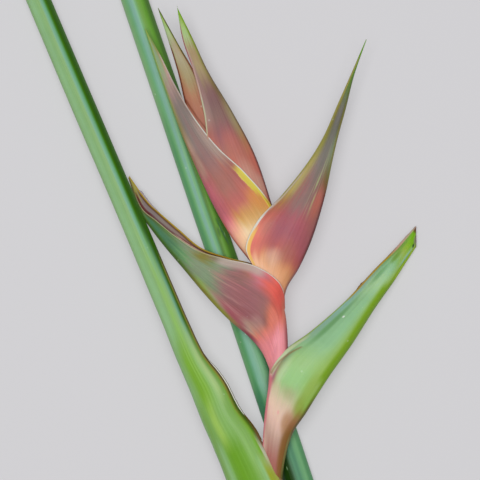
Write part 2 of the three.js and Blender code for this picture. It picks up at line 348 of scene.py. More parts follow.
def smoothRun(inner, run):
    # a smooth line through some points, with an equal share of the run for each stretch
    ends = np.vstack([2 * inner[0] - inner[1], inner, 2 * inner[-1] - inner[-2]])
    place = np.clip(run, 0, 1) * (len(inner) - 1)
    k = np.minimum(place.astype(int), len(inner) - 2)
    w = (place - k)[:, None]
    p0, p1, p2, p3 = (ends[k + i] for i in range(4))
    g0, g1, g2 = ((np.sum(step ** 2, axis=1) ** 0.25)[:, None] for step in (p1 - p0, p2 - p1, p3 - p2))
    d1 = np.where(g1 < tiny, 1, g1)
    d0, d2 = np.where(g0 < tiny, d1, g0), np.where(g2 < tiny, d1, g2)
    t1 = ((p1 - p0) / d0 - (p2 - p0) / (d0 + d1) + (p2 - p1) / d1) * d1
    t2 = ((p2 - p1) / d1 - (p3 - p1) / (d1 + d2) + (p3 - p2) / d2) * d1
    return p1 + w * (t1 + w * (3 * p2 - 3 * p1 - 2 * t1 - t2 + w * (2 * p1 - 2 * p2 + t1 + t2)))


def easeBetween(value, low, high):
    share = np.clip((value - low) / (high - low), 0, 1)
    return share * share * (3 - 2 * share)


def besideStem(points):
    # how far right of the flower stem's middle, in its half breadths, and how high its upper side is there
    run = np.linspace(0, 1, stemSamples)
    centre, girth = (smoothRun(columns, run) for columns in columnsOf(stemStations, [0, 1, 2], [3, 4, 5]))
    nearest = np.linalg.norm(points[..., None, :2] - centre[:, :2], axis=-1).argmin(axis=-1)
    ahead = np.gradient(centre[:, :2], axis=0)
    ahead /= np.linalg.norm(ahead, axis=1)[:, None]
    aside = points[..., :2] - centre[nearest, :2]
    share = (aside[..., 0] * ahead[nearest, 1] - aside[..., 1] * ahead[nearest, 0]) / girth[nearest, 0]
    height = centre[nearest, 2] + girth[nearest, 1] * np.sqrt(np.clip(1 - share ** 2, 0, 1))
    return share, np.where(np.abs(share) < 1, height, offStem)


def smoothMax(first, second, blend):
    near = np.maximum(blend - np.abs(first - second), 0)
    return np.maximum(first, second) + near ** 2 / (4 * blend)


def lengthShares(curve):
    # how far along its length each point of a curve is, and that length
    run = np.concatenate([[0], np.cumsum(np.linalg.norm(np.diff(curve, axis=0), axis=1))])
    return run / run[-1], run[-1]


def newPart(points, faces, slot=0, **layers):
    # points in rows, their faces, and the values that the colours follow
    layers = {label: np.broadcast_to(values, points.shape[:2]).ravel() for label, values in layers.items()}
    return dict(points=points.reshape(-1, 3), faces=faces, slots=[slot] * len(faces), layers=layers)


def tubeFaces(rows, ring):
    # quads of a tube with so many rows and points a ring
    return [(r * ring + i, r * ring + (i + 1) % ring, (r + 1) * ring + (i + 1) % ring, (r + 1) * ring + i)
            for r in range(rows - 1) for i in range(ring)]


def capFaces(first, ring, count, skip=0):
    # quads across a ring, each between two points and the two that face them
    last = first + ring - 1 - skip
    return [(first + i, first + i + 1, last - 1 - i, last - i) for i in range(count)]


def buildPiece(piece, parts, materials):
    # one mesh of all parts; a value that a part lacks is 0 there
    points = np.vstack([part["points"] for part in parts])
    counts = [len(part["points"]) for part in parts]
    faces, layers = [], {}
    for first, part in zip([0, *np.cumsum(counts).tolist()], parts):
        faces += [tuple(first + i for i in face) for face in part["faces"]]
    for label in sorted({label for part in parts for label in part["layers"]}):
        runs = [part["layers"].get(label, np.zeros(count)) for part, count in zip(parts, counts)]
        layers[label] = np.concatenate(runs)
    if "joint" in piece:
        layers["pastJoint"] = (points[:, :2] - jointPlace) @ jointDirection
        layers["besideStem"] = besideStem(points)[0] / 2 + 0.5
    mesh = bpy.data.meshes.new(piece["name"])
    mesh.from_pydata(((points + photoMiddle) * mm).tolist(), [], faces)
    for label, values in layers.items():
        attribute = mesh.attributes.new(label, "FLOAT", "POINT")
        attribute.data.foreach_set("value", np.asarray(values, np.float32))
    for material in materials:
        mesh.materials.append(material)
    mesh.polygons.foreach_set("material_index", [slot for part in parts for slot in part["slots"]])
    turnOutward(mesh)
    body = bpy.data.objects.new(piece["name"], mesh)
    bpy.context.scene.collection.objects.link(body)
    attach(body, "root")
    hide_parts(piece["node"])
    print("piece made:", piece["name"])


def turnOutward(mesh):
    # faces turned outward, smooth but for the sharp edges
    work = bmesh.new()
    work.from_mesh(mesh)
    bmesh.ops.recalc_face_normals(work, faces=work.faces)
    work.to_mesh(mesh)
    work.free()
    mesh.shade_smooth()
    mesh.set_sharp_from_angle(angle=math.radians(sharpAngle))


def creases(piece, along, across, width, length):
    # how deep the skin is pressed in along the piece's creases, and a mask of them; an entry without depth
    # is only a line of painted shadow
    depth, mask = 0.0, 0.0
    for crease in piece.get("creases", []):
        places, shares = zip(*crease["path"])
        aside = (across - np.interp(along, places, shares)) * width
        beyond = np.maximum(np.maximum(places[0] - along, along - places[-1]), 0) * length
        near = np.exp(-(aside ** 2 + beyond ** 2) / crease["breadth"] ** 2)
        depth = depth + near * crease["depth"]
        mask = np.maximum(mask, near)
    return depth, mask


ribbonSteps = 6
ribbonSpacing = 0.3
ribbonThinning = 0.5  # how much thinner a ribbon is at its free rim
raggedWaves = ((5, 0.4), (11, 2.1), (23, 4.0))  # waves along a ribbon and where they start


def ribbon(edge, stretch, root, thickness, curl, ragged, breadths):
    # breadths is a text of pairs, each a place along the edge and the breadth there
    breadths = np.array([[float(number) for number in pair.split()] for pair in breadths.split(", ")])
    return dict(edge=edge, stretch=stretch, root=root, thickness=thickness, curl=curl, ragged=ragged,
                breadths=breadths)


def ribbonPart(strip, edge, outward, up, along, length, slot=1):
    # a thin papery strip that grows from an edge, its free rim a little ragged and curled
    start, end = strip["stretch"]
    count = int((end - start) * length / ribbonSpacing) + 2
    run = np.linspace(start, end, count)
    edge, outward, up = (np.stack([np.interp(run, along, values[:, i]) for i in range(3)], axis=1)[:, None]
                         for values in (edge, outward, up))
    breadth = np.interp(run, *strip["breadths"].T)
    share = np.linspace(0, 1, count)
    for waves, phase in raggedWaves:
        ragged = strip["ragged"] * np.sin(2 * np.pi * waves * share + phase)
        breadth = breadth * (1 + ragged / len(raggedWaves))
    breadth = breadth[:, None, None]
    across = np.linspace(0, 1, ribbonSteps + 1)[None, :, None]
    thickness = strip["thickness"] * (1 - ribbonThinning * across)
    middle = edge + outward * (across * (breadth + strip["root"]) - strip["root"])
    middle = middle + up * (strip["curl"] * breadth * across ** 2)
    points = np.concatenate([middle + up * thickness / 2, (middle - up * thickness / 2)[:, ::-1]], axis=1)
    rows, ring = points.shape[:2]
    faces = tubeFaces(rows, ring)
    for first in (0, (rows - 1) * ring):
        faces += capFaces(first, ring, ribbonSteps)
    acrossRing = np.concatenate([across[0, :, 0], across[0, ::-1, 0]])
    return newPart(points, faces, slot, along=run[:, None], across=acrossRing)


# Skins

plainSkin = dict(gloss=0.16, coat=0.02, glow=0.1)  # for a look that doesn't say
coatRoughness = 0.35
glowRadius, glowDepth = (1.0, 0.9, 0.35), 0.002  # light comes through yellow
bumpStrength = 0.6
waxShine = 0.12  # how much rougher wax is
# how strongly creases and lines of painted shadow take their colour, and scuffs theirs
creaseAndShadowStrength, scuffStrength = 0.8, 0.3
patchStrength = 0.8
lineHabit = (0.3, 0.9, 0.3)  # how soft, strong and wandering a line is if its entry doesn't say
veinedReach = (0.45, 0.8)  # how light the veins are that a veined patch takes
paperRoughness, paperVeinShine, paperRelief = 0.55, 0.15, 0.1


def newSkin(name, look):
    # a material with its one shader, and that shader's plain values
    material = bpy.data.materials.new(name)
    material.use_nodes = True
    tree = material.node_tree
    shader = tree.nodes["Principled BSDF"]
    look = {**plainSkin, **look}
    setInputs(shader, {
        "Specular IOR Level": look["gloss"], "Coat Weight": look["coat"],
        "Coat Roughness": coatRoughness, "Subsurface Weight": look["glow"],
        "Subsurface Radius": glowRadius, "Subsurface Scale": glowDepth,
    })
    return material, tree, shader


def finishSkin(shader, colour, roughness, height, depth):
    values = {"Strength": bumpStrength, "Distance": depth * mm, "Height": height}
    bump = put(colour.tree, "ShaderNodeBump", values)
    setInputs(shader, {"Base Color": colour, "Roughness": roughness, "Normal": read(bump)})


def startVeins(look, along, across):
    veins = useGroup(along.tree, longVeins, Along=along, Across=across, Count=look["veinCount"],
                     Stretch=look["stretch"], Seed=look["seed"])
    return veins, (veins["Broad"] - 0.5) * look["feather"]


def addPatches(colour, look, along, across, veins, feather):
    # blushes: each is a paint, a place along and across, half sizes that way and perhaps a strength
    for paint, (at, over, length, breadth, *strength), words in entriesOf(look.get("patches", "")):
        mask = useGroup(along.tree, softPatch, Along=along, Across=across, At=at, Over=over, Length=length,
                        Breadth=breadth, Streak=feather)["Mask"]
        if "veined" in words:
            mask = mask * fade(veins["Fine"], *veinedReach)
        colour = mix(mask * (*strength, patchStrength)[0], colour, colourOf(paint))
    return colour


def addStreaks(colour, look, veins, marks):
    # a little lighter and darker along the veins and in soft clouds
    veined = (veins["Fine"] - 0.5) * look["streaks"]
    cloudy = (marks["Wax"] - 0.5) * look["clouds"]
    return scaleBy(colour, veined + cloudy + 1.0)


def addLines(colour, look, along, inside):
    # each is a paint, from and to how many millimetres off an edge, a stretch along, and perhaps how soft,
    # strong and wandering it is; its last words may name another edge than the margin, or the inside
    for paint, (start, end, begin, until, *others), words in entriesOf(look.get("lines", "")):
        soft, strength, wander = (*others, *lineHabit[len(others):])
        edges = [word for word in words if word != "inner"] or ["fromMargin"]
        distance = layer(along.tree, edges[0])
        mask = useGroup(along.tree, edgeLine, Distance=distance, Along=along, Start=start, End=end,
                        Soft=soft, From=begin, Until=until, Wander=wander, Seed=look["seed"])["Mask"]
        face = inside if "inner" in words else 1.0 - inside
        colour = mix(mask * (face * strength), colour, colourOf(paint))
    return colour


def addMarks(colour, look, marks):
    # creases and lines of painted shadow, pale specks and scuffs
    creaseAndShadowMask = layer(colour.tree, "crease") * creaseAndShadowStrength
    colour = mix(creaseAndShadowMask, colour, colourOf(look.get("creaseColour", "foldBrown")))
    colour = mix(marks["Specks"], colour, colourOf("speck"))
    return mix(marks["Scuffs"] * scuffStrength, colour, colourOf("oliveBrown"))


def bandColour(look, along, place):
    # bands across a stalk or ribbon, and other bands below a place along it
    colour = ramp(place, look["bands"])
    for reach, bands in look["zones"]:
        colour = mix(fade(along, *reach), ramp(place, bands), colour)
    return colour


def bladeSkin(piece, paintSkin, veinShine=0.0):
    # the skin of a bract or stalk, whose own colours paintSkin gives; its veins may be rougher
    material, tree, shader = newSkin(piece["node"] + "_skin", piece)
    along, across = layer(tree, "along"), layer(tree, "across")
    veins, feather = startVeins(piece, along, across)
    marks = useGroup(tree, skinMarks, Amount=piece["marks"])
    colour, inside = paintSkin(piece, along, across, veins, feather, marks)
    colour = addLines(colour, piece, along, inside)
    colour = addMarks(colour, piece, marks)
    roughness = marks["Wax"] * waxShine + veins["Fine"] * veinShine + piece["roughness"]
    finishSkin(shader, colour, roughness, veins["Relief"], piece["veinDepth"])
    return material


def paperySkin(piece):
    # a dry margin, with colours across it
    look = piece["ribbonLook"]
    material, tree, shader = newSkin(piece["name"] + "_papery_margin", look)
    along, across = layer(tree, "along"), layer(tree, "across")
    veins, feather = startVeins(look, across, along)
    colour = bandColour(look, along, across + feather)
    colour = scaleBy(colour, (veins["Fine"] - 0.5) * look["streaks"] + 1.0)
    roughness = veins["Fine"] * paperVeinShine + paperRoughness
    finishSkin(shader, colour, roughness, veins["Fine"], paperRelief)
    return material


# Bracts

bractSteps = 180  # along a bract
cheekSteps = 38  # from keel to margin
crowding = 1.25  # how much closer the points stand near the margin
bractWall = 1.0  # its thickness
closedSlit = 0.12  # half of the gap that stays open in a shut bract
foldShare = 0.45  # share of a cheek that is rounded round the keel
rimThin, rimReach = 0.5, 3.5  # share of the wall left at the margin, and how far in it thins
rimLip = 0.3  # how far the rim is rounded out, in walls
veinFromKeel, veinFromRoot = (1.0, 5.0), (0.12, 0.36)  # where vein ridges start and are full
waveFromRoot, wavePhase = (0.05, 0.3), 1.9  # the far margin's waves start elsewhere than the near one's
wavePower = 4  # keeps waves near the margin
broadEnough = (2.0, 9.0)  # ridges and waves fade out where a bract is narrow
endSteps = 7  # rows that give a blunt end its direction
farAway = 99.0  # for rims, which no line from the keel reaches
insideFade = (0.55, 0.8)  # where the inner colour starts and is full, round the rim
jointFeather = 12.0  # how far broad veins shift the joint, in millimetres
bractVeinShine = 0.05  # how much rougher veins are


def cheekShape(share):
    # how far across a cheek is and how far it stands out, at a share of the way from keel to margin
    rest = np.clip(2 * share - 1, 0, 1)
    folding = share < 0.5
    across = np.where(folding, foldShare * (1 - np.cos(share * np.pi)), foldShare + (1 - foldShare) * rest)
    bulge = np.where(folding, np.sin(share * np.pi), 1.0)
    return across, bulge, rest * rest


def endRibbon(strip, keel, margin, width):
    # a ribbon across the blunt end of a bract, from its keel to its margin and a little beyond
    onward = (keel + margin)[-1] - (keel + margin)[-1 - endSteps]
    onward = np.tile(onward / np.linalg.norm(onward), (2, 1))
    edge = np.stack([keel[-1], margin[-1]])
    return ribbonPart(strip, edge, onward, np.tile(upright, (2, 1)), np.array((0.0, 1.0)), width)


def makeBract(bract, materials):
    # a folded boat: an outer skin from near margin over the keel to far margin, and an inner one back
    # a rib is the keel's and the margin's place, their height, half the depth near the keel and at the
    # margin, and perhaps how far the far margin stands out past the near one
    run = np.linspace(0, 1, bractSteps + 1)
    groups = columnsOf(bract["ribs"], [0, 1, 4], [2, 3, 4], [5, 6, 7])
    keel, margin, girth = (smoothRun(columns, run) for columns in groups)
    depth, opening, rise = np.split(girth, 3, axis=1)
    shares, length = lengthShares((keel + margin) / 2)
    along, keel, margin = shares[:, None], keel[:, None], margin[:, None]
    breadth = margin - keel
    width = np.linalg.norm(breadth, axis=2)
    outward = breadth / width[..., None]
    index = np.arange(-cheekSteps, cheekSteps + 1)[None, :]
    side = np.sign(index)
    across, bulge, fall = cheekShape(1 - (1 - np.abs(index) / cheekSteps) ** crowding)
    rootSink = bract["rootSink"] * (1 - easeBetween(along, 0, bract["rootReach"]))
    reach = depth - rootSink + fall * (opening - depth)
    ridge = bract["veinHeight"] * np.cos(2 * np.pi * bract["veins"] * across) * bulge
    ridge = ridge * easeBetween(width * across, *veinFromKeel) * easeBetween(width, *broadEnough)
    ridge = ridge * easeBetween(along, *veinFromRoot)
    pressed, creaseAndShadowMask = creases(bract, along, across, width, length)
    ridge = ridge - np.where(side < 0, pressed, 0.0)
    sway = np.sin(2 * np.pi * bract["waves"] * along + np.where(side > 0, wavePhase, 0.0))
    wave = bract["wave"] * sway * across ** wavePower
    wave = wave * easeBetween(width, *broadEnough) * easeBetween(along, *waveFromRoot)
    wall = np.minimum(bractWall, depth - closedSlit)
    wall = wall * (rimThin + (1 - rimThin) * easeBetween((1 - across) * width, 0.0, rimReach))
    farRise = np.where(side > 0, rise, 0.0)
    base = keel + breadth * across[..., None] + outward * (farRise * across)[..., None]
    outer = base.copy()
    outer[..., 2] += wave - side * (bulge * reach + ridge)
    if "fillet" in bract:
        nearSkin = outer[:, :cheekSteps + 1]
        stemHeight = besideStem(nearSkin)[1] - stemGap
        nearSkin[..., 2] = smoothMax(nearSkin[..., 2], stemHeight, bract["fillet"])
    inner = base + outward * (np.minimum(wall, width / 2) * (1 - across))[..., None]
    inner[..., 2] += wave - side * bulge * np.maximum(reach - wall, closedSlit)
    lip = outward * (rimLip * wall[:, -1:])[..., None]
    rims = dict(far=(outer[:, -1:] + inner[:, -1:]) / 2, near=(outer[:, :1] + inner[:, :1]) / 2)
    points = np.concatenate([outer, rims["far"] + lip, inner[:, ::-1], rims["near"] + lip], axis=1)
    rows, ring = points.shape[:2]
    half = 2 * cheekSteps + 1

    def ringOf(sheet, rim):
        # a value round the ring, the same on both skins, and another on the two rims
        sheet, ends = np.broadcast_to(sheet, (rows, half)), np.full((rows, 1), rim)
        return np.concatenate([sheet, ends, sheet[:, ::-1], ends], axis=1)

    faces = tubeFaces(rows, ring)
    for first in (0, (rows - 1) * ring):
        faces += capFaces(first, ring, half - 1, skip=1)
        faces += [(first + half - 1, first + half, first + half + 1),
                  (first + ring - 2, first + ring - 1, first)]
    parts = [newPart(
        points, faces, along=along, across=ringOf(across, 1.0),
        fromMargin=ringOf((1 - across) * (width + farRise), 0.0), fromKeel=ringOf(across * width, farAway),
        pastRim=ringOf(across * width + farRise * across - width, farAway),
        inside=np.repeat((0.0, 0.5, 1.0, 0.5), (half, 1, half, 1)),
        crease=ringOf(creaseAndShadowMask * (side < 0), 0.0),
    )]
    for strip in bract.get("ribbons", []):
        if strip["edge"] == "end":
            parts.append(endRibbon(strip, keel[:, 0], margin[:, 0], width[-1, 0]))
        else:
            edge, up = rims[strip["edge"]][:, 0], np.tile(upright, (rows, 1))
            parts.append(ribbonPart(strip, edge, outward[:, 0], up, shares, length))
    buildPiece(bract, parts, materials)


def paintBract(bract, along, across, veins, feather, marks):
    # colours along the cheek, its upper part and its keel, and others on the fold and inside
    inside = fade(layer(along.tree, "inside"), *insideFade)
    place, spot = along + feather, across + feather
    colour = ramp(place, bract["cheek"])
    colour = mix(fade(spot, *bract["upperReach"]), colour, ramp(place, bract["upper"]))
    colour = mix(fade(spot, *bract["keelReach"]), ramp(place, bract["keel"]), colour)
    colour = addPatches(colour, bract, along, across, veins, feather)
    edgeMask = fade(layer(along.tree, "fromKeel"), *bract["edgeReach"])
    colour = mix(edgeMask, ramp(along, bract["edge"]), colour)
    if "joint" in bract:
        pastJoint = fade(layer(along.tree, "pastJoint") + feather * jointFeather, *jointFade)
        colour = mix(pastJoint, colour, ramp(layer(along.tree, "besideStem"), bract["joint"]))
    colour = addStreaks(colour, bract, veins, marks)
    return mix(inside, colour, ramp(place, bract["inner"])), inside


roseSkin = dict(
    stretch=6.0, feather=0.03, streaks=0.18, clouds=0.12, marks=0.2, roughness=0.45, veinDepth=0.1,
)

# rootSink: how much slimmer the root is, up to rootReach; fillet: how softly it blends into the stem
# cheek, upper, keel, edge, inner: paints and their places from root to tip, in parts of the bract
# patches: paint, place along and across, half sizes that way, strength, "veined" if only veins take it
# lines: paint, from and to in millimetres off an edge, stretch along, softness, strength, wander, edge
bractOne = dict(
    name="lowest_bract", node="bract_1", slot="green_bract",
    rootSink=0.0, rootReach=0.1, veins=7, veinHeight=0.05, wave=0.25, waves=3.5,
    ribs=[
        (20.6, -126, 10.6, -118, 14.4, 6.2, 5.6), (22.6, -110, 11.4, -102, 16.7, 6.3, 5.8),
        (26.2, -97, 12.6, -86, 18.2, 6.4, 5.8), (33, -86.6, 14.6, -71, 19.2, 6.9, 6),
        (38.3, -78, 15.2, -65.8, 19.8, 7.6, 5.8), (45.5, -67, 22.2, -55.6, 19, 8.4, 5.4),
        (56, -52.4, 35.2, -46, 15.6, 8.6, 3.6), (67.8, -34.1, 53.2, -30.4, 10.4, 7.2, 2.6),
        (77.5, -20.5, 67.5, -15, 6.1, 5.4, 2.2), (83.5, -11.2, 78.8, -3.7, 3.7, 3.6, 1.8),
        (88.5, -3.5, 88.1, 6.7, 2.6, 1.5, 1.2),
    ],
    creases=[
        dict(breadth=0.55, depth=0.35,
             path=[(0.345, 0.985), (0.36, 0.975), (0.396, 0.955), (0.437, 0.9), (0.474, 0.84)]),
    ],
    ribbons=[
        ribbon("near", (0.735, 0.985), root=0.5, thickness=0.3, curl=0.3, ragged=0.25,
               breadths=".735 0, .75 .2, .762 .6, .775 .7, .785 .2, .88 .15, .92 .45, .965 .5, .985 .2"),
        ribbon("end", (0.0, 1.1), root=0.5, thickness=1.4, curl=0.0, ragged=0.3,
               breadths="0 .15, .3 .4, .7 .45, .95 .7, 1.1 .3"),
    ],
    ribbonLook=dict(
        seed=4.4, veinCount=30.0, stretch=3.0, feather=0.2, streaks=0.5,
        bands="darkBark 0, dryBrown 1",
        zones=[
            ((1.0, 1.02), "paleMauve 0, softMauve 1"),
            ((0.89, 0.93), "goldLine 0, foldBrown .5, dryBrown 1"),
        ],
    ),
    seed=3.1, veinCount=34.0, stretch=5.0, feather=0.02, streaks=0.08, clouds=0.1, marks=0.18,
    roughness=0.4, veinDepth=0.05, gloss=0.2, coat=0.04, creaseColour="foldBrown",
    # the pale stop at .8 of the cheek is a painted highlight; the sheen and teal stops of the upper part
    # are a painted reflection of the sky
    cheek="clay 0 .09, pinkTan .16, pinkCream .22, sand .28, leafSpring .34 .44, leafBody .52 .72, "
          "leafPale .8, leafBody .88, tipLime .93, brightTip .98 1",
    upper="clay 0, pinkTan .1 .17, pinkCream .24, sand .3, khaki .36, greySage .42, leafBody .48, "
          "leafSheen .56, leafTeal .7, leafSheen .8, leafShade .88, tipDeep .94, brightTip .98 1",
    keel="bark 0 .2, tanBrown .25, tipLime .29, keelGreen .36 .9, leafPale .95, tipLime 1",
    edge="olive 0, darkOlive .08, bark .24, darkOlive .3, limeOlive .36 .95, olive 1",
    inner="pinkTan 0, leafPale .4 1",
    upperReach=(0.76, 0.95), keelReach=(0.1, 0.44), edgeReach=(0.3, 2.0),
    # the two leafShade patches are painted shade along a crease, and the leafTeal patch near the tip on
    # the keel side is a painted highlight
    patches="leafShade .6 .78 .14 .09 .9, leafShade .83 .72 .06 .12 .7, plum .34 .95 .05 .09 1, "
            "rose .3 .97 .05 .07 .7, sand .3 .8 .04 .1 .5, khaki .31 .52 .03 .16 .3, "
            "oliveCream .37 .8 .07 .1 .45, bark .12 .22 .16 .16 .5, tanBrown .225 .34 .05 .17, "
            "limeOlive .3 .22 .04 .12 .5, tipLime .36 .2 .07 .12 .6, blushPink .236 .61 .009 .045 .45, "
            "speck .641 .67 .006 .035 .9, brightTip .9 .42 .03 .2 .3, tipDeep .905 .68 .035 .15 .9, "
            "leafTeal .93 .2 .05 .06 1, tipDeep .945 .86 .045 .2, dryGrey 1 .36 .016 .3 1, "
            "inkGreen .982 .25 .008 .12 1, darkBark 1 .9 .012 .24 1",
    lines="limeKeel 0 2.4 .42 .78 2.8 fromKeel, limeKeel 0 .8 .3 .96 1.4 fromKeel, "
          "olive .5 1.1 .09 .24 .4 fromKeel, darkBark 0 .8 .22 .31 .8 .7 fromKeel, "
          "bark 2 3.2 .12 .27 1.6 .5 fromKeel, rose 0 .2 .1 .22 .7, rose 0 .7 .2 .36 1, "
          "oliveCream 0 1.3 .37 .5 1, tipLime 0 .3 .5 .73, goldLine 0 .6 .74 .93, "
          "paleMauve 0 .6 .93 .985 .4 .7, limeEdge 0 .8 .86 .97 .6 fromKeel",
)

bractTwo = dict(
    name="open_bract", node="bract_2", slot="rose_bract",
    rootSink=2.0, rootReach=0.14, fillet=1.6, veins=9, veinHeight=0.06, wave=0.3, waves=2.5,
    ribs=[
        (15.3, -66, 22.5, -34, 20.5, 5.5, 4), (11, -56.2, 21.8, -26, 21, 6.9, 6.4),
        (4.5, -48.5, 18.5, -20, 21.5, 7.9, 7.7), (-6, -39.5, 7.5, -13, 21.5, 7.8, 7.2, 0.4),
        (-16.5, -28.5, -7, -9.5, 20.5, 6.8, 5.2, 0.9), (-27.7, -15.2, -20.5, -5.5, 18.4, 5.4, 4.2, 1.8),
        (-37.1, -4.1, -33, 2.4, 16, 4.2, 3.4, 3.7), (-44.3, 5.1, -42.3, 10, 13.4, 3, 2.4, 4.2),
        (-49.9, 13.4, -48.9, 15.5, 11, 1.9, 1.4, 4.8), (-56, 31, -55.8, 31.6, 8.6, 0.7, 0.6, 0.6),
    ],
    ribbons=[
        ribbon("far", (0.74, 0.905), root=0.4, thickness=0.3, curl=0.5, ragged=0.2,
               breadths=".74 0, .78 .5, .86 1, .89 1, .905 .3"),
    ],
    ribbonLook=dict(
        seed=2.6, veinCount=30.0, stretch=3.0, feather=0.1, streaks=0.3,
        bands="goldLine 0 .3, lavender .5, greyMauve 1",
        zones=[],
    ),
    seed=8.4, veinCount=38.0, stretch=7.0, feather=0.06, streaks=0.26, clouds=0.12, marks=0.2,
    roughness=0.45, veinDepth=0.12,
    cheek="blushPink 0, coral .08, clay .13, plumRose .18 .28, duskyMauve .36, greySage .43 .52, "
          "sageGreen .58, darkTeal .65 .84, oliveBrown 1",
    upper="coral 0, coralRed .09 .17, rose .22, clay .28, duskyMauve .34, greySage .42, olive .52, "
          "greySage .59, moss .68, darkOlive .8, oliveBrown 1",
    keel="blushPink 0, coral .1, pinkTan .15, mauveRose .2 .29, paleKhaki .36, tipLime .44, greySage .5, "
         "sageGreen .57, darkTeal .66 .84, oliveBrown 1",
    edge="crimson 0 .14, clay .21, oliveLime .28 .42, moss .55 .85, oliveBrown 1",
    joint="blushPink 0, palePink .3 .78, rose .92 1",
    inner="maroon 0 .36, violet .44, duskyMauve .52, greyMauve .7 .86, oliveGold .91 1",
    upperReach=(0.55, 0.84), keelReach=(0.05, 0.3), edgeReach=(0.8, 2.8),
    patches="paleMauve .145 .27 .05 .12 .35, foldRose .31 .68 .09 .14 .55, plumRose .19 .6 .07 .14 .6, "
            "coralRed .1 .8 .06 .2 .4, coral .07 .45 .05 .3 .7, greySage .42 .45 .14 .4 .5 veined, "
            "paleMauve .27 .25 .1 .2 .3 veined, rose .33 .55 .14 .3 .4 veined, "
            "duskyMauve .42 .92 .08 .1 .5, darkTeal .72 .7 .14 .3 .5",
    lines="silver 0 2.2 .25 .4 2.8 .65, paleRim 0 .25 .1 .36 .2 .7, sand 0 .2 .36 .9 .2 .6, "
          "darkRed -9 .6 .38 .6 .7 pastRim inner, maroon -9 .4 .64 .76 .6 .6 pastRim inner, "
          "oxblood -9 .7 .8 .89 .8 pastRim inner, pinkCream -9 .3 .53 .62 pastRim inner, "
          "darkBark .3 1.1 .4 .88 .7 inner, richGold 0 .4 .34 1 .25 inner",
)

bractThree = dict(
    name="tall_bract", node="bract_3", slot="rose_bract",
    rootSink=0.6, rootReach=0.06, veins=9, veinHeight=0.06, wave=0.25, waves=2.5,
    ribs=[
        (21.5, -32.5, 12, -25, 21, 5.2, 4.6), (23.5, -24, 6.5, -13, 21, 6.3, 5.8),
        (29.5, -14, 3, -4, 21, 8, 7.3), (36, 0.5, 8.5, 9, 21, 8.5, 7.6), (42.5, 22, 21.5, 23, 21, 6.8, 3),
        (46, 38.5, 34.5, 39.5, 20.5, 4.9, 1.8), (49, 51.5, 42, 52, 20, 3.7, 1.5),
        (53, 66, 48.8, 67.5, 19.5, 2.6, 1.4), (57, 82, 55.2, 82, 19, 1.6, 1.2),
        (63.3, 100.2, 63.1, 100.3, 18.5, 0.7, 0.6),
    ],
    seed=12.7, veinCount=36.0, **roseSkin,
    cheek="peach 0 .08, apricot .125, terracotta .165, deepRose .23 .3, duskyMauve .36 .44, "
          "greyMauve .52, violetGrey .64 .74, moss .82, tipOlive .88 1",
    upper="peach 0 .1, coral .145 .24, terracotta .31, tanBrown .37, dryGold .42 .5, oliveGold .58, "
          "olive .68 .8, tipOlive .88 1",
    keel="coral 0, apricot .1, terracotta .15, deepRose .21, clay .34 .4, oliveBrown .47, greySage .58, "
         "darkOlive .7, moss .82, tipOlive .9 1",
    # the maroon along the keel edge is partly the bract's own colour and partly painted shade of its side
    # turned from the light
    edge="terracotta 0, clay .09, crimson .15, maroon .2 .32, rustEdge .4, olive .48 .7, moss .84, "
         "brightTip 1",
    inner="cream 0, terracotta .5, olive 1",
    upperReach=(0.57, 0.9), keelReach=(0.06, 0.34), edgeReach=(0.2, 1.6),
    patches="pinkCream .145 .5 .045 .19 .45, clay .17 .3 .06 .2 .5, clay .248 .8 .05 .1 .4, "
            "apricot .1 .25 .05 .3 .5, crimson .25 .62 .1 .18 .35, greyMauve .34 .46 .08 .12 .6 veined, "
            "deepRose .42 .66 .1 .2 .5 veined, terracotta .37 .14 .07 .14 .7, "
            "goldLine .38 .88 .07 .1 .6 veined, violetGrey .56 .42 .2 .14 .6, "
            "tipPale .46 .28 .16 .13 veined",
    lines="paleRim 0 .4 .14 .34, silver 0 .8 .35 .46 .9, paleRim 0 .9 .17 .27, amber .8 1.9 .1 .2 .7, "
          "oliveGold 0 .5 .4 .9",
)

